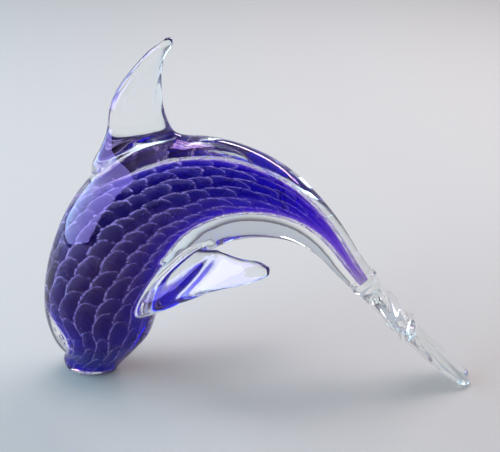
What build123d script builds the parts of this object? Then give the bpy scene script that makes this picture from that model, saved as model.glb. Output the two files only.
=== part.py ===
"""A hot-sculpted crystal glass dolphin, about 200 mm long and 163 mm high, standing on its beak and its flukes.

The row frame is +Z up, with +X from the beak towards the tail and the origin at the middle of the flat ground on the
beak. The dolphin is symmetric about the plane Y = 0, and its left side faces -Y. All lengths are millimetres.

The figurine is solid glass. A cobalt core carries a skin moulded with scales, both are cased in a thick clear
jacket, and the fins and the tail are clear bits put on hot. Each gather or bit is one solid, and they meet face to
face where the glass is fused.
"""

import os
from math import cos, pi, sin

from build123d import *

# The jacket, from the beak to the tail: back point (x, z), belly point (x, z) and half width of each section.
BODY = [
    ((-12.4, 0.0), (12.4, 0.0), 9.0),
    ((-13.2, 5.0), (16.5, 5.0), 11.0),
    ((-12.4, 9.6), (20.6, 9.6), 13.5),
    ((-15.4, 14.0), (24.4, 14.0), 16.0),
    ((-18.0, 20.0), (28.6, 19.5), 18.5),
    ((-19.8, 28.0), (31.6, 27.0), 20.5),
    ((-20.0, 38.0), (34.4, 35.5), 22.0),
    ((-18.2, 51.0), (38.6, 45.0), 22.8),
    ((-13.6, 67.0), (44.0, 54.0), 22.8),
    ((-4.6, 86.0), (50.4, 60.0), 22.2),
    ((9.0, 102.2), (56.2, 64.0), 21.0),
    ((28.2, 114.2), (61.6, 66.6), 19.5),
    ((51.0, 118.6), (68.4, 69.8), 17.4),
    ((74.0, 114.6), (77.8, 71.8), 15.0),
    ((93.8, 104.4), (86.8, 71.8), 12.4),
    ((108.4, 90.4), (96.6, 69.8), 10.0),
    ((119.2, 75.8), (106.9, 63.4), 8.2),
    ((127.4, 62.4), (116.0, 53.8), 7.0),
    ((133.8, 54.0), (123.2, 46.6), 7.2),
]

# The cobalt glass inside the jacket: where it starts and ends between the back and the belly point of the same
# section, as shares of that distance, and its half width.
COBALT = [
    (0.055, 0.955, 8.0),
    (0.085, 0.925, 9.6),
    (0.115, 0.890, 10.6),
    (0.215, 0.860, 11.6),
    (0.235, 0.850, 13.2),
    (0.170, 0.840, 14.8),
    (0.090, 0.82, 15.8),
    (0.080, 0.81, 16.4),
    (0.085, 0.79, 16.0),
    (0.120, 0.77, 14.8),
    (0.190, 0.75, 13.2),
    (0.235, 0.73, 11.4),
    (0.245, 0.71, 9.6),
    (0.245, 0.68, 7.6),
    (0.245, 0.64, 5.6),
    (0.255, 0.60, 4.0),
    (0.290, 0.59, 2.8),
    (0.330, 0.60, 2.2),
]
COBALT_TIP = (0.41, 0.63, 1.3)  # at the last section of the jacket, drawn back by COBALT_TIP_BACK
COBALT_TIP_BACK = 2.0
SKIN_THICKNESS = 1.0  # of the scale skin over the core
SEAM = 0.02  # left between the gathers, so that no two solids share a curved face

OVAL_STEPS = 8  # steps round each half of a section

# The dorsal fin, from its root to its tip: height, front x, rear x and half thickness of each level section.
DORSAL = [
    (94.0, 14.0, 44.0, 6.0),
    (104.0, 6.4, 56.0, 9.6),
    (111.0, 9.4, 51.0, 8.0),
    (117.0, 12.4, 45.6, 5.0),
    (122.0, 14.0, 42.4, 3.9),
    (129.0, 15.0, 39.6, 3.5),
    (137.0, 17.8, 38.7, 3.2),
    (145.0, 22.9, 38.7, 2.9),
    (152.0, 28.9, 39.7, 2.6),
    (157.5, 34.4, 42.2, 2.2),
    (161.0, 39.2, 43.9, 1.8),
    (162.6, 41.2, 43.4, 1.0),
]

# The left pectoral fin, from its root to its tip: leading point, trailing point and half thickness.
PECTORAL = [
    ((20.0, -8.0, 38.0), (47.0, -7.0, 68.0), 5.0),
    ((25.0, -15.5, 36.5), (56.0, -14.0, 71.0), 5.2),
    ((37.0, -21.0, 42.5), (62.0, -18.5, 73.0), 4.4),
    ((48.5, -25.0, 50.5), (66.5, -22.5, 73.8), 2.8),
    ((60.0, -28.5, 57.0), (71.5, -26.8, 74.2), 2.4),
    ((72.5, -32.0, 62.6), (77.8, -31.0, 74.8), 2.1),
    ((82.5, -34.8, 67.6), (83.8, -34.4, 75.2), 1.8),
    ((86.9, -36.2, 70.6), (87.1, -36.1, 74.0), 1.2),
]

# The tail beyond the jacket: centre (x, z), half thickness and half width of each section square to the tail.
TAIL_DROP = (0.68, -0.733)  # the way the tail runs, as x and z
TAIL_ROOT = BODY[-1]
PADDLE = [
    ((131.2, 47.4), 5.6, 6.4),
    ((134.2, 44.0), 4.6, 8.0),
    ((138.8, 38.8), 4.3, 11.4),
    ((144.2, 33.1), 4.1, 11.8),
    ((147.2, 29.8), 3.8, 10.4),
    ((149.4, 27.4), 4.4, 9.8),
]
# One fluke: centre (x, z), distance of its centre from the middle plane, half thickness and half width.
FLUKE = [
    ((149.4, 27.4), 4.4, 3.6, 4.6),
    ((152.6, 24.0), 4.4, 3.3, 4.7),
    ((158.6, 17.9), 4.6, 3.1, 4.8),
    ((166.4, 10.6), 4.9, 2.9, 4.5),
    ((173.4, 4.6), 4.7, 2.5, 3.8),
    ((177.4, 1.7), 4.3, 2.0, 3.1),
    ((179.2, 0.6), 4.1, 1.2, 1.9),
]


def between(start, end, share):
    """The point that lies at share of the way from start to end."""
    return tuple(a + (b - a) * share for a, b in zip(start, end))


def body_plane(back, belly):
    """A section's plane: its x runs from the belly to the back, and its normal from the beak towards the tail."""
    rise = (Vector(back[0], 0, back[1]) - Vector(belly[0], 0, belly[1])).normalized()
    centre = between(back, belly, 0.5)
    return Plane(origin=(centre[0], 0, centre[1]), x_dir=rise, z_dir=(rise.Z, 0, -rise.X))


def half_depth(back, belly):
    return (Vector(*back) - Vector(*belly)).length / 2


def cobalt_sections(grow):
    """Plane, half depth and half width of each section of the cobalt glass, made larger all round by grow."""
    sections = []
    for (back, belly, _), (near_back, near_belly, half_width) in zip(BODY, COBALT):
        top = between(back, belly, near_back)
        bottom = between(back, belly, near_belly)
        sections.append((body_plane(top, bottom), half_depth(top, bottom) + grow, half_width + grow))
    back, belly, _ = BODY[-1]
    near_back, near_belly, half_width = COBALT_TIP
    top = between(back, belly, near_back)
    bottom = between(back, belly, near_belly)
    plane = body_plane(top, bottom).offset(grow - COBALT_TIP_BACK)
    sections.append((plane, half_depth(top, bottom) + grow, half_width + grow))
    return sections


def tail_plane(centre, side=0.0):
    """A plane square to the tail: its x runs from the underside to the top, and its y runs sideways."""
    return Plane(
        origin=(centre[0], side, centre[1]),
        x_dir=(-TAIL_DROP[1], 0, TAIL_DROP[0]),
        z_dir=(TAIL_DROP[0], 0, TAIL_DROP[1]),
    )


def fin_plane(index):
    """The plane of one section of the left pectoral fin: its x runs along the chord, its y through the thickness."""
    lead, trail, _ = PECTORAL[index]
    before = PECTORAL[max(index - 1, 0)]
    after = PECTORAL[min(index + 1, len(PECTORAL) - 1)]
    chord = Vector(*trail) - Vector(*lead)
    span = Vector(*between(after[0], after[1], 0.5)) - Vector(*between(before[0], before[1], 0.5))
    face = chord.cross(span)
    return Plane(origin=between(lead, trail, 0.5), x_dir=chord, z_dir=face.cross(chord))


def oval(half_x, half_y):
    """Add an oval face to the sketch under way, as two halves that start and end on its x axis."""
    shares = [step / OVAL_STEPS for step in range(OVAL_STEPS + 1)]
    upper = [(half_x * cos(pi * share), half_y * sin(pi * share)) for share in shares]
    lower = [(-x, -y) for x, y in upper]
    make_face([Edge.make_spline(half, parameters=shares) for half in (upper, lower)])


def cased(outer, inner):
    """The solid of glass between outer and inner, which share the ground plane and touch nowhere else."""
    outer_foot = outer.faces().sort_by(Axis.Z)[0]
    inner_foot = inner.faces().sort_by(Axis.Z)[0]
    walls = [face for face in outer.faces() if not face.is_same(outer_foot)]
    walls += [face for face in inner.faces() if not face.is_same(inner_foot)]
    ring = Face(outer_foot.outer_wire(), [inner_foot.outer_wire()])
    return Solid(Shell(walls + [ring])).fix()


os.makedirs("parts", exist_ok=True)

# The outside of the jacket, as one solid that the other pieces are trimmed to.
with BuildPart() as envelope:
    for back, belly, half_width in BODY:
        with BuildSketch(body_plane(back, belly)):
            oval(half_depth(back, belly), half_width)
    loft()

# The cobalt glass with its scale skin on, as one solid.
with BuildPart() as cobalt_body:
    for plane, depth, width in cobalt_sections(0):
        with BuildSketch(plane):
            oval(depth, width)
    loft()

# The cobalt core, which ends flush in the ground face of the beak.
with BuildPart() as cobalt_core:
    for plane, depth, width in cobalt_sections(-SKIN_THICKNESS - SEAM)[:-2]:
        with BuildSketch(plane):
            oval(depth, width)
    loft()
cobalt_core.part.label = "cobalt_core"

# The skin over the core, in which the scales are moulded.
with BuildPart() as skin_lining:
    for plane, depth, width in cobalt_sections(-SKIN_THICKNESS)[:-2]:
        with BuildSketch(plane):
            oval(depth, width)
    loft()
with BuildPart() as scale_skin:
    add(cased(cobalt_body.part, skin_lining.part))
scale_skin.part.label = "scale_skin"

# The clear jacket, from the beak to the end of the tail stock.
with BuildPart() as jacket_lining:
    for plane, depth, width in cobalt_sections(SEAM):
        with BuildSketch(plane):
            oval(depth, width)
    loft()
with BuildPart() as clear_jacket:
    add(cased(envelope.part, jacket_lining.part))
clear_jacket.part.label = "clear_jacket"

with BuildPart() as dorsal_fin:
    for height, front, rear, half_thickness in DORSAL:
        with BuildSketch(Plane(origin=((front + rear) / 2, 0, height))):
            oval((rear - front) / 2, half_thickness)
    loft()
    add(envelope.part, mode=Mode.SUBTRACT)
dorsal_fin.part.label = "dorsal_fin"

# The left pectoral fin before it is trimmed to the jacket.
with BuildPart() as pectoral_blank:
    for index, (lead, trail, half_thickness) in enumerate(PECTORAL):
        with BuildSketch(fin_plane(index)):
            oval((Vector(*trail) - Vector(*lead)).length / 2, half_thickness)
    loft()

with BuildPart() as left_pectoral_fin:
    add(pectoral_blank.part)
    add(envelope.part, mode=Mode.SUBTRACT)
left_pectoral_fin.part.label = "left_pectoral_fin"

with BuildPart() as right_pectoral_fin:
    add(mirror(pectoral_blank.part, about=Plane.XZ, mode=Mode.PRIVATE))
    add(envelope.part, mode=Mode.SUBTRACT)
right_pectoral_fin.part.label = "right_pectoral_fin"

# The flattened bit at the end of the tail, from the jacket's end face to the shoulder where the flukes start.
with BuildPart() as tail_paddle:
    back, belly, half_width = TAIL_ROOT
    with BuildSketch(body_plane(back, belly)):
        oval(half_depth(back, belly), half_width)
    for centre, half_thickness, half_width in PADDLE:
        with BuildSketch(tail_plane(centre)):
            oval(half_thickness, half_width)
    loft()
tail_paddle.part.label = "tail_paddle"

# The two flukes, which are fused side by side near the paddle, each with a small flat where it touches the table.
with BuildPart() as left_fluke:
    for centre, side, half_thickness, half_width in FLUKE:
        with BuildSketch(tail_plane(centre, -side)):
            oval(half_thickness, half_width)
    loft()
    split(bisect_by=Plane.XY, keep=Keep.TOP)
    split(bisect_by=Plane.XZ, keep=Keep.TOP)
left_fluke.part.label = "left_fluke"

with BuildPart() as right_fluke:
    add(mirror(left_fluke.part, about=Plane.XZ, mode=Mode.PRIVATE))
right_fluke.part.label = "right_fluke"

pieces = (
    cobalt_core,
    scale_skin,
    clear_jacket,
    dorsal_fin,
    left_pectoral_fin,
    right_pectoral_fin,
    tail_paddle,
    left_fluke,
    right_fluke,
)
for piece in pieces:
    export_step(piece.part, f"parts/{piece.part.label}.step")
    print(piece.part.label, len(piece.part.solids()), "solid,", round(piece.part.volume / 1000, 1), "cm3")
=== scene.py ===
"""The looks of the crystal glass dolphin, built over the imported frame.

The jacket, fins and tail are one fused mass of glass, so their outside is made as one smooth surface, from
distance fields that melt into each other. Flat planes then cut it into the pieces that stand for the CAD nodes.
Lengths are in millimetres, and turn into metres where a mesh is written.
"""

import bmesh
import bpy
import numpy as np
import openvdb
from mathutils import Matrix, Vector


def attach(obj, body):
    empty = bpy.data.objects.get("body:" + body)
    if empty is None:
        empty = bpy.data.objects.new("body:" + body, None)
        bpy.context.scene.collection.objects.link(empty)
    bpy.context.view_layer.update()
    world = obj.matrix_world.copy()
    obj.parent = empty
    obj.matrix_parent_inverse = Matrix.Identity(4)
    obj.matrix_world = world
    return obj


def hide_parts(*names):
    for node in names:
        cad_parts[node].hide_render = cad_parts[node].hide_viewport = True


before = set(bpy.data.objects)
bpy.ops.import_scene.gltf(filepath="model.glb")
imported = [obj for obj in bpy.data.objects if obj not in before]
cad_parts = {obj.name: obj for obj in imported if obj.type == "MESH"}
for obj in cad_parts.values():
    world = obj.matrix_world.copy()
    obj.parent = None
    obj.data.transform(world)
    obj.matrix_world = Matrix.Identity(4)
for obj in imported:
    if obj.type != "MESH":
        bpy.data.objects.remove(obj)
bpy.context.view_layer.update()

MM = 0.001
VOXEL = 0.7  # of the distance fields
BAND = 9  # voxels that a field reaches on each side of its surface
LOW = np.array([-28.0, -44.0, -7.0])  # corners of the space that the fields cover
HIGH = np.array([190.0, 44.0, 170.0])
_, Y, Z = np.eye(3)

# ----------------------------------------------------------------------------------------------- shape tables

# The jacket, from the beak to the tail: back point (x, z), belly point (x, z) and half width of each section.
BODY = [
    ((-12.4, 0.0), (12.4, 0.0), 9.0),
    ((-13.2, 5.0), (16.5, 5.0), 11.0),
    ((-12.4, 9.6), (20.6, 9.6), 13.5),
    ((-15.4, 14.0), (24.4, 14.0), 16.0),
    ((-18.0, 20.0), (28.6, 19.5), 18.5),
    ((-19.8, 28.0), (31.6, 27.0), 20.5),
    ((-20.0, 38.0), (34.4, 35.5), 22.0),
    ((-18.2, 51.0), (38.6, 45.0), 22.8),
    ((-13.6, 67.0), (44.0, 54.0), 22.8),
    ((-4.6, 86.0), (50.4, 60.0), 22.2),
    ((9.0, 102.2), (56.2, 64.0), 21.0),
    ((28.2, 114.2), (61.6, 66.6), 19.5),
    ((51.0, 118.6), (68.4, 69.8), 17.4),
    ((74.0, 114.6), (77.8, 71.8), 15.0),
    ((93.8, 104.4), (86.8, 71.8), 12.4),
    ((108.4, 90.4), (96.6, 69.8), 10.0),
    ((119.2, 75.8), (106.9, 63.4), 8.2),
    ((127.4, 62.4), (116.0, 53.8), 7.0),
    ((133.8, 54.0), (123.2, 46.6), 7.2),
]

# The cobalt glass inside it: where it starts and ends between back and belly, as shares, and its half width.
COBALT = [
    (0.055, 0.955, 8.0),
    (0.085, 0.925, 9.6),
    (0.115, 0.890, 10.6),
    (0.215, 0.860, 11.6),
    (0.235, 0.850, 13.2),
    (0.170, 0.840, 14.8),
    (0.090, 0.82, 15.8),
    (0.080, 0.81, 16.4),
    (0.085, 0.79, 16.0),
    (0.120, 0.77, 14.8),
    (0.190, 0.75, 13.2),
    (0.235, 0.73, 11.4),
    (0.245, 0.71, 9.6),
    (0.245, 0.68, 7.6),
    (0.245, 0.64, 5.6),
    (0.255, 0.60, 4.0),
    (0.290, 0.59, 2.8),
    (0.330, 0.60, 2.2),
    (0.410, 0.63, 1.3),
]

COBALT_FOOT = 0.5  # the cobalt glass starts this far above the ground face of the beak
SKIN_THICKNESS = 1.0
GAP = 0.05  # between the core and the skin, and between the skin and the jacket

# The dorsal fin: height, front x, rear x and half thickness of each level section.
DORSAL = [
    (94.0, 14.0, 44.0, 6.0),
    (104.0, 6.4, 56.0, 9.6),
    (111.0, 9.4, 51.0, 8.0),
    (117.0, 12.4, 45.6, 5.0),
    (122.0, 14.0, 42.4, 3.9),
    (129.0, 15.0, 39.6, 3.5),
    (137.0, 17.8, 38.7, 3.2),
    (145.0, 22.9, 38.7, 2.9),
    (152.0, 28.9, 39.7, 2.6),
    (157.5, 34.4, 42.2, 2.2),
    (161.0, 39.2, 43.9, 1.8),
    (162.6, 41.2, 43.4, 1.0),
]

# The left pectoral fin: leading point, trailing point and half thickness of each section. Its root is a fat
# lobe, and its blade is pressed flat.
PECTORAL_ROOT = [
    ((20.0, -8.0, 38.0), (47.0, -7.0, 68.0), 5.0),
    ((25.0, -15.5, 36.5), (56.0, -14.0, 71.0), 5.2),
    ((37.0, -21.0, 42.5), (62.0, -18.5, 73.0), 4.4),
    ((46.0, -23.6, 49.6), (65.0, -21.0, 73.4), 3.4),
    ((48.5, -24.6, 53.0), (66.0, -22.0, 72.6), 2.4),
]
PECTORAL_BLADE = [
    ((37.0, -21.0, 43.5), (62.0, -18.5, 72.6), 2.4),
    ((48.5, -25.0, 50.5), (66.5, -22.5, 73.8), 2.5),
    ((60.0, -28.5, 57.0), (71.5, -26.8, 74.2), 2.4),
    ((72.5, -32.0, 62.6), (77.8, -31.0, 74.8), 2.1),
    ((82.5, -34.8, 67.6), (83.8, -34.4, 75.2), 1.8),
    ((86.9, -36.2, 70.6), (87.1, -36.1, 74.0), 1.2),
]

# The tail: centre (x, z), half thickness and half width of each section. A fluke has its distance off the
# middle plane after its centre.
TAIL_RUN = np.array([0.68, 0.0, -0.733])
TAIL_TOP = np.array([0.733, 0.0, 0.68])
PADDLE = [
    ((128.5, 50.3), 6.2, 7.0),
    ((131.2, 47.4), 5.6, 6.4),
    ((134.2, 44.0), 4.6, 8.0),
    ((138.8, 38.8), 4.3, 11.4),
    ((144.2, 33.1), 4.1, 11.8),
    ((147.2, 29.8), 3.8, 10.4),
    ((149.8, 27.0), 4.9, 9.8),
]
FLUKE = [
    ((148.4, 28.4), 4.4, 3.6, 4.6),
    ((152.6, 24.0), 4.4, 3.3, 4.7),
    ((158.6, 17.9), 4.6, 3.1, 4.8),
    ((166.4, 10.6), 4.9, 2.9, 4.5),
    ((173.4, 4.6), 4.7, 2.5, 3.8),
    ((177.4, 1.7), 4.3, 2.0, 3.1),
    ((179.2, 0.6), 4.1, 1.2, 1.9),
]

# Air caught in the jacket where the beak was pulled out: centre and radius.
BUBBLES = [
    ((-6.6, -12.4, 18.6), 2.6),
    ((-9.4, -11.6, 23.2), 1.5),
    ((-5.6, -13.6, 23.6), 0.8),
    ((-12.2, -10.4, 26.4), 1.0),
    ((-8.8, -13.0, 27.4), 0.6),
]
BUBBLE_FLATNESS = 0.3

# Marks left by the pull and the tools. Each has its height, and the range in which it fades in and out again.
FADE = (0, 1, 1, 0)
STRIAE = 0.26  # up the dorsal fin
STRIAE_HEIGHTS = (123, 134, 150, 160)
STRIAE_CHORD = (0, 0.15, 0.85, 1)  # shares of the way from the front of the fin to its rear
STRIAE_COUNT = 6.5
FOLDS = 0.25  # in the roots of the pectoral fins
FOLDS_OUT = (8, 14, 26, 34)  # from the root towards the tip
FOLD_SPACING = 10
FIN_RUN = np.array([0.854, -0.393, 0.342])  # from the root of the left pectoral fin to its tip
SWIRL = 0.55  # round the paddle
SWIRL_DOWN = (3, 8, 24, 29)  # from the start of the paddle
SWIRL_LENGTH = 16  # of one wave down the tail
SWIRL_WIDTH = 34  # across the tail, of one wave
PINCH_RIDGE = 0.45  # where the tail was pinched, at both ends of the paddle
PINCH_WIDTH = 1.6
PADDLE_LENGTH = 31.6
TAIL_START = 110  # the x past which there is only tail

# --------------------------------------------------------------------------------------------------- sections
# A section is nine numbers: its centre and its two half axes. A form is a list of sections.


def body_form():
    form = []
    for back, belly, half_width in BODY:
        top = np.array([back[0], 0, back[1]])
        bottom = np.array([belly[0], 0, belly[1]])
        form.append([*(top + bottom) / 2, *(top - bottom) / 2, *(-Y * half_width)])
    return form


def cobalt_form(grow):
    """The cobalt glass, made larger all round by grow, and started just above the ground face of the beak."""
    form = []
    for (back, belly, _), (near_back, near_belly, half_width) in zip(BODY, COBALT):
        top = np.array([back[0], 0, back[1]])
        bottom = np.array([belly[0], 0, belly[1]])
        start = top + (bottom - top) * near_back
        end = top + (bottom - top) * near_belly
        rise = (start - end) / np.linalg.norm(start - end)
        half = (start - end) / 2 + rise * grow
        form.append([*(start + end) / 2, *half, *(-Y * (half_width + grow))])
    form[0][2] += COBALT_FOOT - grow
    return form


def dorsal_form():
    return [
        [(front + rear) / 2, 0, height, (rear - front) / 2, 0, 0, 0, thick, 0]
        for height, front, rear, thick in DORSAL
    ]


def pectoral_form(rows, side):
    """Part of the fin on the side that Y has the sign of."""
    lead = np.array([row[0] for row in rows])
    trail = np.array([row[1] for row in rows])
    thick = np.array([row[2] for row in rows])
    middle = (lead + trail) / 2
    face = np.cross(trail - lead, np.gradient(middle, axis=0))
    face *= (thick / np.linalg.norm(face, axis=1))[:, None]
    form = np.hstack([middle, (trail - lead) / 2, face])
    form[:, 1::3] *= -side
    return form


def tail_form(rows, side=0.0):
    """Sections square to the tail, of the paddle, or of the fluke whose centre is towards side."""
    form = []
    for (x, z), *off, thick, wide in rows:
        form.append([x, side * sum(off), z, *(TAIL_TOP * thick), *(Y * wide)])
    return form


def spline(form, spacing):
    """Sections about spacing apart on a natural cubic spline through the sections of form."""
    form = np.asarray(form, float)
    knots = np.append(0, np.cumsum(np.linalg.norm(np.diff(form[:, :3], axis=0), axis=1)))
    gap = np.diff(knots)[:, None]
    matrix = np.eye(len(form))
    bend = np.zeros_like(form)
    slope = np.diff(form, axis=0) / gap
    for i in range(1, len(form) - 1):
        matrix[i, i - 1 : i + 2] = gap[i - 1, 0], 2 * (gap[i - 1, 0] + gap[i, 0]), gap[i, 0]
        bend[i] = 6 * (slope[i] - slope[i - 1])
    bend = np.linalg.solve(matrix, bend)
    at = np.linspace(0, knots[-1], max(4, round(knots[-1] / spacing)) + 1)
    i = np.clip(np.searchsorted(knots, at, side="right") - 1, 0, len(form) - 2)
    ahead = (knots[i + 1] - at)[:, None]
    behind = (at - knots[i])[:, None]
    h = gap[i]
    return (
        (bend[i] * ahead**3 + bend[i + 1] * behind**3) / (6 * h)
        + (form[i] / h - bend[i] * h / 6) * ahead
        + (form[i + 1] / h - bend[i + 1] * h / 6) * behind
    )


def rings(sections, around, squareness=2.0):
    """Points round each section, as an array of sections by points by 3; squareness 2 is an ellipse."""
    turn = np.linspace(0, 2 * np.pi, around, endpoint=False)
    across = np.sign(np.cos(turn)) * np.abs(np.cos(turn)) ** (2 / squareness)
    through = np.sign(np.sin(turn)) * np.abs(np.sin(turn)) ** (2 / squareness)
    return (
        sections[:, None, 0:3]
        + sections[:, None, 3:6] * across[None, :, None]
        + sections[:, None, 6:9] * through[None, :, None]
    )


def closed(grid):
    """Points and quads of a tube whose rings are grid, each end closed by a fan of quads to its centre."""
    count, around = grid.shape[:2]
    points = np.vstack([grid.reshape(-1, 3), grid[0].mean(axis=0), grid[-1].mean(axis=0)])
    here = np.arange(around)
    after = (here + 1) % around
    start = (np.arange(count - 1) * around)[:, None]
    sides = np.stack([start + here, start + after, start + around + after, start + around + here], axis=-1)
    even = here[::2]
    low = np.stack([(even + 2) % around, even + 1, even, np.full(around // 2, count * around)], axis=-1)
    high = low[:, [2, 1, 0, 3]] + (count - 1) * around
    high[:, 3] = count * around + 1
    return points, np.vstack([sides.reshape(-1, 4), low, high])


def bubble(centre, radius):
    """Points and quads of a bubble that lies flat along the outside, facing in as a hole in the glass does."""
    centre = np.array(centre)
    outward = centre * (1, 1, 0) / np.hypot(centre[0], centre[1])
    aside = np.cross(Z, outward)
    sections = []
    for turn in np.linspace(0.1, np.pi - 0.1, 13):
        middle = centre + outward * radius * BUBBLE_FLATNESS * np.cos(turn)
        wide = radius * np.sin(turn)
        sections.append([*middle, *(aside * wide), *(Z * wide)])
    return closed(rings(np.array(sections), 24))


# ------------------------------------------------------------------------------------------ the fused outside

TRANSFORM = openvdb.createLinearTransform(voxelSize=VOXEL)
FIRST = np.floor(LOW / VOXEL).astype(int)
SHAPE = np.ceil((HIGH - LOW) / VOXEL).astype(int)


def distance(form, squareness=2.0):
    """Signed distance to the form's surface at every voxel, in millimetres, negative inside."""
    points, quads = closed(rings(spline(form, 1.2), 72, squareness))
    grid = openvdb.FloatGrid.createLevelSetFromPolygons(
        points.astype(np.float32), quads=quads.astype(np.uint32), transform=TRANSFORM, halfWidth=BAND
    )
    field = np.empty(SHAPE, np.float32)
    grid.copyToArray(field, ijk=tuple(int(v) for v in FIRST))
    return field


def melt(a, b, radius):
    """The union of two fields, with a fillet of about radius where they meet."""
    near = np.maximum(radius - np.abs(a - b), 0) / radius
    return np.minimum(a, b) - near * near * radius / 4


def outside():
    """Points and quads of the whole outer surface of the glass."""
    field = distance(body_form())
    field = melt(field, distance(dorsal_form(), 2.6), 5.0)
    for side in (-1, 1):
        blade = distance(pectoral_form(PECTORAL_BLADE, side), 5.0)
        fin = melt(distance(pectoral_form(PECTORAL_ROOT, side), 2.3), blade, 0.8)
        field = melt(field, fin, 3.0)
    tail = distance(tail_form(PADDLE), 2.3)
    flukes = [distance(tail_form(FLUKE, side), 2.3) for side in (-1, 1)]
    tail = melt(tail, melt(*flukes, 1.0), 1.2)
    field = melt(field, tail, 1.5)
    level = (np.arange(SHAPE[2]) + FIRST[2]) * VOXEL
    field = np.maximum(field, -level[None, None, :])
    grid = openvdb.FloatGrid()
    grid.background = BAND * VOXEL
    grid.copyFromArray(field.astype(np.float32), ijk=tuple(int(v) for v in FIRST))
    grid.transform = TRANSFORM
    points, quads = grid.convertToQuads(isovalue=0)
    return points.astype(float), quads.astype(int)


def summed(index, values, count):
    """The sums of the rows of values that have the same index."""
    return np.stack([np.bincount(index, values[:, k], count) for k in range(3)], axis=1)


RELAX_PASSES = 6
SMOOTH, REGROW = 0.5, -0.52  # steps towards the neighbours' middle and away again, which undoes the shrinking
FOOT_REACH = 0.25  # points this near the table are put on it


def relax(points, quads):
    """Take the voxel grid's ripple off the points without shrinking them, and keep the foot flat."""
    edges = np.vstack([quads[:, [k, (k + 1) % 4]] for k in range(4)])
    edges = np.unique(np.sort(edges, axis=1), axis=0)
    both = np.vstack([edges, edges[:, ::-1]])
    count = np.bincount(both[:, 0], minlength=len(points))[:, None]
    for step in [SMOOTH, REGROW] * RELAX_PASSES:
        neighbours = summed(both[:, 0], points[both[:, 1]], len(points)) / count
        points = points + step * (neighbours - points)
    points[points[:, 2] < FOOT_REACH, 2] = 0.0
    return points


def striae(points):
    """Fine ridges up the dorsal fin."""
    x, _, z = points.T
    heights, fronts, rears, _ = zip(*DORSAL)
    front = np.interp(z, heights, fronts)
    chord = (x - front) / (np.interp(z, heights, rears) - front)
    ridges = np.sin(2 * np.pi * (STRIAE_COUNT * chord + 0.5 * np.sin(z / 9)))
    return STRIAE * ridges * np.interp(z, STRIAE_HEIGHTS, FADE) * np.interp(chord, STRIAE_CHORD, FADE)


def folds(points):
    """Soft folds along the root of each pectoral fin, kept off the body's flank."""
    x, y, z = points.T
    lead, trail, _ = PECTORAL_ROOT[0]
    from_root = np.stack([x, -np.abs(y), z], axis=1) - (np.array(lead) + trail) / 2
    out = from_root @ FIN_RUN
    up = from_root @ np.cross(FIN_RUN, Y)
    waves = np.sin(2 * np.pi * (up / FOLD_SPACING + 0.35 * np.sin(out / 7)))
    on_fin = np.interp(out, FOLDS_OUT, FADE) * np.interp(-from_root[:, 1], (5, 8), (0, 1))
    on_fin *= np.interp(np.abs(up), (9, 12), (1, 0))
    return FOLDS * waves * on_fin


def twist(points):
    """The swirl round the paddle, and the ridge at each end of it."""
    x, y, z = points.T
    down = (x - PADDLE[0][0][0]) * TAIL_RUN[0] + (z - PADDLE[0][0][1]) * TAIL_RUN[2]
    waves = np.sin(2 * np.pi * (down / SWIRL_LENGTH + y / SWIRL_WIDTH))
    marks = SWIRL * waves * np.interp(down, SWIRL_DOWN, FADE)
    for pinch in (0, PADDLE_LENGTH):
        marks += PINCH_RIDGE * np.exp(-(((down - pinch) / PINCH_WIDTH) ** 2))
    return marks * (x > TAIL_START)


def worked(points, quads):
    """The points, pushed in and out by the marks that the pull and the tools leave in the glass."""
    marks = striae(points) + folds(points) + twist(points)
    a, b, c, d = (points[quads[:, k]] for k in range(4))
    outward = summed(quads.ravel(), np.repeat(np.cross(c - a, d - b), 4, axis=0), len(points))
    outward /= np.linalg.norm(outward, axis=1, keepdims=True)
    return points + outward * marks[:, None]


# How the outside is cut into pieces: the piece, what it is cut from, a point of the cut, the way to the piece,
# and the lowest and highest corner of the space that the cut reaches.
CUTS = [
    ("dorsal_fin", "clear_jacket", (28.0, 0, 116.4), (-0.34, 0, 0.94), (-28, -20, 100), (60, 20, 170)),
    ("left_pectoral_fin", "clear_jacket", (44.0, -20, 56.0), (0.70, -0.62, -0.35), (15, -44, 25), (95, -10, 85)),
    ("right_pectoral_fin", "clear_jacket", (44.0, 20, 56.0), (0.70, 0.62, -0.35), (15, 10, 25), (95, 44, 85)),
    ("tail_paddle", "clear_jacket", (128.5, 0, 50.3), TAIL_RUN, (110, -20, -7), (190, 20, 70)),
    ("left_fluke", "tail_paddle", (150.2, 0, 26.6), TAIL_RUN, (130, -20, -7), (190, 20, 50)),
    ("right_fluke", "left_fluke", (0, 0, 0), (0, 1, 0), (130, -20, -7), (190, 20, 50)),
]
CLEAR_PIECES = ["clear_jacket"] + [cut[0] for cut in CUTS]
ON_CUT = 1e-4  # a point this near a cut counts as lying on it


def island(faces, start):
    """Those of a set of faces that are joined to start."""
    found = {start}
    ahead = [start]
    while ahead:
        for edge in ahead.pop().edges:
            for face in faces.intersection(edge.link_faces) - found:
                found.add(face)
                ahead.append(face)
    return found


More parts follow.
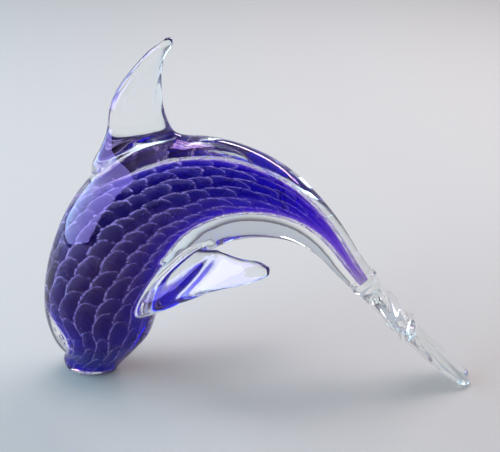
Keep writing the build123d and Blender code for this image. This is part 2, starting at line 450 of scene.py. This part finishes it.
def cut_up(points, quads):
    """Cut the outside along CUTS. Returns points, their normals, the faces, and the piece of each face.

    A cut takes only what is joined to the face furthest beyond its plane, so it leaves the flank alone.
    """
    bm = bmesh.new()
    verts = [bm.verts.new(p) for p in points]
    mark = bm.faces.layers.int.new("piece")
    for quad in quads:
        bm.faces.new([verts[i] for i in quad])
    for name, source, point, way, low, high in CUTS:
        point, way = Vector(point), Vector(way)
        uncut = CLEAR_PIECES.index(source)
        reached = set()
        for face in bm.faces:
            middle = face.calc_center_median()
            if face[mark] == uncut and all(low[k] <= middle[k] <= high[k] for k in range(3)):
                reached.update([face, *face.edges, *face.verts])
        cut = bmesh.ops.bisect_plane(bm, geom=list(reached), dist=ON_CUT, plane_co=point, plane_no=way)
        faces = [face for face in cut["geom"] if isinstance(face, bmesh.types.BMFace)]
        past = {face: (face.calc_center_median() - point).dot(way) for face in faces}
        beyond = {face for face in faces if past[face] > 0}
        for face in island(beyond, max(beyond, key=past.get)):
            face[mark] = CLEAR_PIECES.index(name)
    bm.verts.index_update()
    bm.normal_update()
    coords = np.array([v.co for v in bm.verts])
    normals = np.array([v.normal for v in bm.verts])
    faces = [[v.index for v in face.verts] for face in bm.faces]
    labels = [CLEAR_PIECES[face[mark]] for face in bm.faces]
    bm.free()
    return coords, normals, faces, labels


def lids(faces, labels):
    """For each piece, the flat faces that close it, one for each other piece that it meets."""
    owner = {}
    for face, label in zip(faces, labels):
        for edge in zip(face, face[1:] + face[:1]):
            owner[edge] = label
    rims = {}
    for (a, b), label in owner.items():
        other = owner[b, a]
        if other != label:
            rims.setdefault((label, other), {})[b] = a
    found = {label: [] for label in CLEAR_PIECES}
    for (label, _), after in rims.items():
        ends = set(after) - set(after.values())
        while after:
            lid = [ends.pop() if ends else next(iter(after))]
            while lid[-1] in after:
                lid.append(after.pop(lid[-1]))
            if lid[0] == lid[-1]:
                lid.pop()
            found[label].append(lid)
    return found


def mesh_object(name, points, faces, materials, face_material=None, normals=None):
    """A smooth-shaded object. normals, if given, holds a normal for each corner of each face."""
    mesh = bpy.data.meshes.new(name)
    mesh.from_pydata((np.asarray(points) * MM).tolist(), [], faces)
    for material in materials:
        mesh.materials.append(material)
    if face_material is not None:
        mesh.polygons.foreach_set("material_index", np.asarray(face_material, np.int32))
    mesh.shade_smooth()
    if normals is not None:
        mesh.normals_split_custom_set(normals)
    piece = bpy.data.objects.new(name, mesh)
    bpy.context.scene.collection.objects.link(piece)
    return piece


# -------------------------------------------------------------------------------------------------- materials


COBALT_TINT = (0.38, 0.05, 0.91, 1)
COBALT_DENSITY = 900.0  # per metre
# The film's colour, which also shows the painted highlights on the scales.
MILK_AND_HIGHLIGHT = (0.74, 0.50, 1.0, 1)


def new_material(name):
    material = bpy.data.materials.new(name)
    material.use_nodes = True
    tree = material.node_tree
    tree.nodes.clear()
    output = tree.nodes.new("ShaderNodeOutputMaterial")
    return material, tree, output


def fused_material():
    """Where two pieces of the same glass are fused, nothing shows."""
    material, tree, output = new_material("fused_joint")
    clear = tree.nodes.new("ShaderNodeBsdfTransparent")
    tree.links.new(clear.outputs[0], output.inputs["Surface"])
    return material


def clear_material(name, waviness):
    """Lead crystal, with the slow waves that the tools leave in it, as strong as waviness.

    Its reflections are tinted violet, as crystal's are not, so that the pale floor does not grey the cobalt.
    """
    material, tree, output = new_material(name)
    glass = tree.nodes.new("ShaderNodeBsdfPrincipled")
    glass.inputs["Base Color"].default_value = (0.985, 0.99, 1.0, 1)
    glass.inputs["Roughness"].default_value = 0.0
    glass.inputs["IOR"].default_value = 1.52
    glass.inputs["Transmission Weight"].default_value = 1.0
    glass.inputs["Specular Tint"].default_value = (0.75, 0.36, 1.0, 1)
    place = tree.nodes.new("ShaderNodeTexCoord")
    waves = tree.nodes.new("ShaderNodeTexNoise")
    waves.inputs["Scale"].default_value = 60
    waves.inputs["Detail"].default_value = 1
    waves.inputs["Distortion"].default_value = 1.5
    bump = tree.nodes.new("ShaderNodeBump")
    bump.inputs["Strength"].default_value = waviness
    bump.inputs["Distance"].default_value = 0.0005
    tree.links.new(place.outputs["Object"], waves.inputs["Vector"])
    tree.links.new(waves.outputs["Fac"], bump.inputs["Height"])
    tree.links.new(bump.outputs["Normal"], glass.inputs["Normal"])
    tree.links.new(glass.outputs[0], output.inputs["Surface"])
    return material


def cobalt_volume(tree, output):
    absorb = tree.nodes.new("ShaderNodeVolumeAbsorption")
    absorb.inputs["Color"].default_value = COBALT_TINT
    absorb.inputs["Density"].default_value = COBALT_DENSITY
    tree.links.new(absorb.outputs[0], output.inputs["Volume"])


def core_material():
    material, tree, output = new_material("cobalt_glass")
    clear = tree.nodes.new("ShaderNodeBsdfTransparent")
    tree.links.new(clear.outputs[0], output.inputs["Surface"])
    cobalt_volume(tree, output)
    return material


def skin_material():
    """Cobalt glass with a milky film that is thickest along the free edge of each scale. Where it is thickest it
    is partly the film and partly a painted highlight. Its thinning towards each scale's root is painted shade,
    and its extra thickness on one side of each scale is painted light on that side.
    """
    material, tree, output = new_material("scale_glass")
    clear = tree.nodes.new("ShaderNodeBsdfTransparent")
    film = tree.nodes.new("ShaderNodeBsdfDiffuse")
    glow = tree.nodes.new("ShaderNodeBsdfTranslucent")
    milk = tree.nodes.new("ShaderNodeMixShader")
    milk.inputs["Fac"].default_value = 0.4
    both = tree.nodes.new("ShaderNodeMixShader")
    # The amount of film at each point, from a point attribute. It is the film itself, with a painted highlight
    # along each scale's edge and painted shade towards its root.
    milk_and_shading = tree.nodes.new("ShaderNodeAttribute")
    milk_and_shading.attribute_name = "milk_and_shading"
    place = tree.nodes.new("ShaderNodeTexCoord")
    bubbles = tree.nodes.new("ShaderNodeTexNoise")
    bubbles.inputs["Scale"].default_value = 2200
    bubbles.inputs["Detail"].default_value = 0
    level = tree.nodes.new("ShaderNodeMapRange")
    level.inputs["From Min"].default_value = 0.35
    level.inputs["From Max"].default_value = 0.65
    level.inputs["To Min"].default_value = 0.65
    level.inputs["To Max"].default_value = 1.2
    share = tree.nodes.new("ShaderNodeMath")
    share.operation = "MULTIPLY"
    share.use_clamp = True
    tree.links.new(place.outputs["Object"], bubbles.inputs["Vector"])
    tree.links.new(bubbles.outputs["Fac"], level.inputs["Value"])
    tree.links.new(level.outputs["Result"], share.inputs[0])
    tree.links.new(milk_and_shading.outputs["Fac"], share.inputs[1])
    film.inputs["Color"].default_value = MILK_AND_HIGHLIGHT
    glow.inputs["Color"].default_value = MILK_AND_HIGHLIGHT
    tree.links.new(film.outputs[0], milk.inputs[1])
    tree.links.new(glow.outputs[0], milk.inputs[2])
    tree.links.new(share.outputs[0], both.inputs["Fac"])
    tree.links.new(clear.outputs[0], both.inputs[1])
    tree.links.new(milk.outputs[0], both.inputs[2])
    tree.links.new(both.outputs[0], output.inputs["Surface"])
    return material


CLEAR = clear_material("clear_crystal", 0.10)
WORKED = clear_material("worked_crystal", 0.40)
FUSED = fused_material()
CORE = core_material()
SKIN = skin_material()

# ----------------------------------------------------------------------------------------------------- scales

# Share of the way from the beak to the tail, and the spacing of the rows there.
SCALE_ROWS = [(0.0, 13.0), (0.2, 12.0), (0.42, 7.0), (0.6, 9.0), (0.8, 16.0), (1.0, 26.0)]
SCALE_COLUMNS = 15  # round the body
SKIN_AROUND = 200  # points round the skin
SKIN_SPACING = 0.52  # between its sections
SCALE_RELIEF = 0.75  # how far a scale's free edge stands above its root
SCALE_TIP = [(0.5, 0.6), (0.75, 1.0)]  # share, how far a scale's round end reaches over the next one, in rows
SCALE_BULGE = 0.14  # how far the side of a scale swells over the next column, in columns
SPIRAL = [(0.0, 0.0), (0.3, 1.8), (1.0, 2.4)]  # share of the way, columns that the scales have turned through
# How the milk fades from a scale's free edge towards its root, which paints shade over the rest of the scale:
# share, how far it reaches, how strong it is.
SCALE_SHADE_FADE = [(0.1, 0.3, 0.5, 0.8), (0.20, 0.34, 0.30, 0.15), (0.16, 0.42, 0.40, 0.10)]
# Waves that make the rows uneven: their height in rows, how many go round the body, and their phase per row.
UNEVEN = [(0.11, 3, 1.7), (0.07, -5, 2.9), (0.06, 2, 2.3)]
CREST = (0.93, 0.05)  # where the bright line along a scale's free edge starts, and how soon it is at its full; the line is partly white film and partly a painted highlight
BEADS = (0.45, 1.35)  # how much that line's brightness varies from point to point
FRAY_SHARE = (0.90, 0.98)  # the last of the way to the tail, over which the pattern breaks up into milk
FRAY = 0.55
CLIMB = 6  # rows that the scales climb in one turn round the body, a whole number so that the pattern closes


def scales(along, around, tip):
    """How near each point is to the free edge of the scale on top of it, and how far across the scale it is.

    The first is 0 at the scale's root and 1 at its edge. along is counted in rows from the beak, and around in
    columns. Each scale lies over the next one of its column towards the tail, by tip rows, and over the side of
    the next column.
    """
    row = np.floor(along)
    past = along - row
    swell = 1 + SCALE_BULGE * np.sin(np.pi * past) ** 0.7
    column = np.floor(around)
    across = around - column
    over = across + 1 < swell
    across = np.where(over, across + 1, across)
    reach = np.hypot(past / tip, across)
    return np.where(reach < 1, reach, across / swell), across


# ----------------------------------------------------------------------------------------------------- pieces


def stand_in(piece, node):
    """Put a piece in the model, in the place of a CAD node."""
    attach(piece, "root")
    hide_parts(node)


def lid_normals(points, flat):
    """A normal for each corner of each flat lid."""
    normals = []
    for lid in flat:
        ring = points[lid] - points[lid].mean(axis=0)
        across = np.cross(ring, np.roll(ring, -1, axis=0)).sum(axis=0)
        normals += [across / np.linalg.norm(across)] * len(lid)
    return normals


def hollows():
    """What is hollow in the jacket: points, quads that face in, and whether glass is fused into it."""
    points, quads = closed(rings(spline(cobalt_form(GAP), 2.5), 48))
    return [(points, quads[:, ::-1], 1)] + [(*bubble(centre, radius), 0) for centre, radius in BUBBLES]


def make_clear_glass():
    """The clear pieces: shares of the one outside, closed by lids that do not show where they are fused."""
    points, quads = outside()
    points = relax(points, quads)
    points = worked(points, quads)
    points, normals, faces, labels = cut_up(points, quads.tolist())
    closing = lids(faces, labels)
    for name in CLEAR_PIECES:
        own = [face for face, label in zip(faces, labels) if label == name]
        used = sorted({i for face in own for i in face})
        new = {old: k for k, old in enumerate(used)}
        piece_points = points[used]
        piece_faces = [[new[i] for i in face] for face in own + closing[name]]
        fused = [0] * len(own) + [1] * len(closing[name])
        corners = [normals[i] for face in own for i in face] + lid_normals(points, closing[name])
        if name == "clear_jacket":
            for inside, inside_quads, is_fused in hollows():
                piece_faces += (inside_quads + len(piece_points)).tolist()
                piece_points = np.vstack([piece_points, inside])
                fused += [is_fused] * len(inside_quads)
                corners += [(0.0, 0.0, 0.0)] * (4 * len(inside_quads))  # Blender works these normals out
        glass = CLEAR if name == "clear_jacket" else WORKED
        piece = mesh_object(name, piece_points, piece_faces, [glass, FUSED], fused, corners)
        stand_in(piece, name)


def make_core():
    points, quads = closed(rings(spline(cobalt_form(-SKIN_THICKNESS - GAP), 1.5), 64))
    stand_in(mesh_object("cobalt_core", points, quads.tolist(), [CORE]), "cobalt_core")


def make_skin():
    """The skin, with its scales in relief, and as a point attribute how milky it is at each point. That amount
    also holds painted highlights along the scale edges and painted shade on the scales.
    """
    sections = spline(cobalt_form(0.0), SKIN_SPACING)
    grid = rings(sections, SKIN_AROUND)
    line = sections[:, :3]
    step = np.append(0, np.linalg.norm(np.diff(line, axis=0), axis=1))
    share = np.cumsum(step) / step.sum()
    along = np.cumsum(step / np.interp(share, *zip(*SCALE_ROWS)))[:, None]
    angle = (np.arange(SKIN_AROUND) / SKIN_AROUND * 2 * np.pi)[None, :]
    turn = np.interp(share, *zip(*SPIRAL))[:, None] - angle / (2 * np.pi) * SCALE_COLUMNS
    rows = along - turn * CLIMB / SCALE_COLUMNS
    uneven = sum(size * np.sin(waves * angle + phase * along) for size, waves, phase in UNEVEN)
    tip = np.interp(share, *zip(*SCALE_TIP))[:, None]
    edge, across = scales(rows + uneven, turn + 0.6 * np.roll(uneven, SKIN_AROUND // 4, axis=1), tip)

    outward = grid - line[:, None, :]
    outward /= np.linalg.norm(outward, axis=2, keepdims=True)
    sink = np.clip(1 - edge**1.5, 0, 1) * SCALE_RELIEF
    points, quads = closed(grid - outward * sink[:, :, None])
    inside, inside_quads = closed(rings(spline(cobalt_form(-SKIN_THICKNESS), 2.5), 48))
    faces = quads.tolist() + (inside_quads[:, ::-1] + len(points)).tolist()
    fused = [0] * len(quads) + [1] * len(inside_quads)
    skin = mesh_object("scale_skin", np.vstack([points, inside]), faces, [SKIN, FUSED], fused)

    beads = np.random.default_rng(7).uniform(*BEADS, edge.shape)
    crest = np.clip((edge - CREST[0]) / CREST[1], 0, 1) * beads
    depth, strength = (np.interp(share, SCALE_SHADE_FADE[0], row)[:, None] for row in SCALE_SHADE_FADE[1:])
    # The film thins from each free edge towards the root: painted shade down each scale.
    painted_shade_fade = strength * np.exp(-(1 - edge) / depth)
    fray = (beads - 0.4) * np.interp(share, FRAY_SHARE, (0, FRAY))[:, None]
    milk_and_shading = np.zeros(len(points) + len(inside))
    # Painted light: the film is thickened towards one side of each scale, lighting that side. This comes on top
    # of the edge line and the painted shade towards the root.
    milk_and_shading[: edge.size] = ((crest + painted_shade_fade) * (0.2 + 0.8 * across) + fray).ravel()
    layer = skin.data.attributes.new("milk_and_shading", "FLOAT", "POINT")
    layer.data.foreach_set("value", milk_and_shading.astype(np.float32))
    stand_in(skin, "scale_skin")


make_clear_glass()
make_core()
make_skin()

# ------------------------------------------------------------------------------------------------------ stage

floor_mesh = bpy.data.meshes.new("floor")
floor_mesh.from_pydata([(-8, -8, 0), (8, -8, 0), (8, 8, 0), (-8, 8, 0)], [], [(0, 1, 2, 3)])
floor = bpy.data.objects.new("floor", floor_mesh)
bpy.context.scene.collection.objects.link(floor)
floor.location.z = -0.0003
floor_material, tree, output = new_material("floor_paper")
paper = tree.nodes.new("ShaderNodeBsdfPrincipled")
paper.inputs["Base Color"].default_value = (0.42, 0.372, 0.36, 1)
paper.inputs["Roughness"].default_value = 0.9
tree.links.new(paper.outputs[0], output.inputs["Surface"])
floor_mesh.materials.append(floor_material)

world = bpy.data.worlds.new("studio")
bpy.context.scene.world = world
world.use_nodes = True
tree = world.node_tree
background = tree.nodes["Background"]
direction = tree.nodes.new("ShaderNodeTexCoord")
lift = tree.nodes.new("ShaderNodeVectorMath")
lift.operation = "DOT_PRODUCT"
lift.inputs[1].default_value = (0.0, 0.75, 0.66)
ramp = tree.nodes.new("ShaderNodeValToRGB")
ramp.color_ramp.elements[0].position = 0.0
ramp.color_ramp.elements[0].color = (0.12, 0.125, 0.14, 1)
ramp.color_ramp.elements[1].position = 0.75
ramp.color_ramp.elements[1].color = (0.48, 0.51, 0.58, 1)
tree.links.new(direction.outputs["Generated"], lift.inputs[0])
tree.links.new(lift.outputs["Value"], ramp.inputs["Fac"])
tree.links.new(ramp.outputs["Color"], background.inputs["Color"])


def softbox(name, place, target, size, power, colour=(1, 1, 1)):
    light = bpy.data.lights.new(name, "AREA")
    light.shape = "RECTANGLE"
    light.size, light.size_y = size
    light.energy = power
    light.color = colour
    lamp = bpy.data.objects.new(name, light)
    lamp.location = place
    lamp.rotation_euler = (Vector(target) - Vector(place)).to_track_quat("-Z", "Y").to_euler()
    lamp.visible_camera = False
    bpy.context.scene.collection.objects.link(lamp)


softbox("window", (-0.97, -0.10, 0.42), (0.0, 0.0, 0.09), (1.6, 0.84), 32, (0.50, 0.82, 1.0))
softbox("key", (-0.10, 0.15, 0.95), (0.05, 0, 0.06), (0.5, 0.35), 4)
softbox("back", (0.50, 0.55, 0.62), (0.08, 0, 0.06), (0.9, 0.10), 6)

# The camera looks down at the dolphin's left side, a little from behind its beak.
AZIMUTH, ELEVATION = np.radians(4), np.radians(25)
AIM = np.array([74.07, 33.59, 60.78])
DISTANCE = 550.0
away = np.array([np.sin(AZIMUTH) * np.cos(ELEVATION), -np.cos(AZIMUTH) * np.cos(ELEVATION), np.sin(ELEVATION)])
camera_data = bpy.data.cameras.new("camera")
camera_data.lens = 82.08
camera_data.sensor_width = 36
camera = bpy.data.objects.new("camera", camera_data)
camera.location = (AIM + away * DISTANCE) * MM
camera.rotation_euler = Vector(-away).to_track_quat("-Z", "Y").to_euler()
bpy.context.scene.collection.objects.link(camera)
bpy.context.scene.camera = camera

scene = bpy.context.scene
scene.cycles.max_bounces = 24
scene.cycles.transmission_bounces = 24
scene.cycles.glossy_bounces = 12
scene.cycles.transparent_max_bounces = 64
scene.view_settings.view_transform = "Standard"
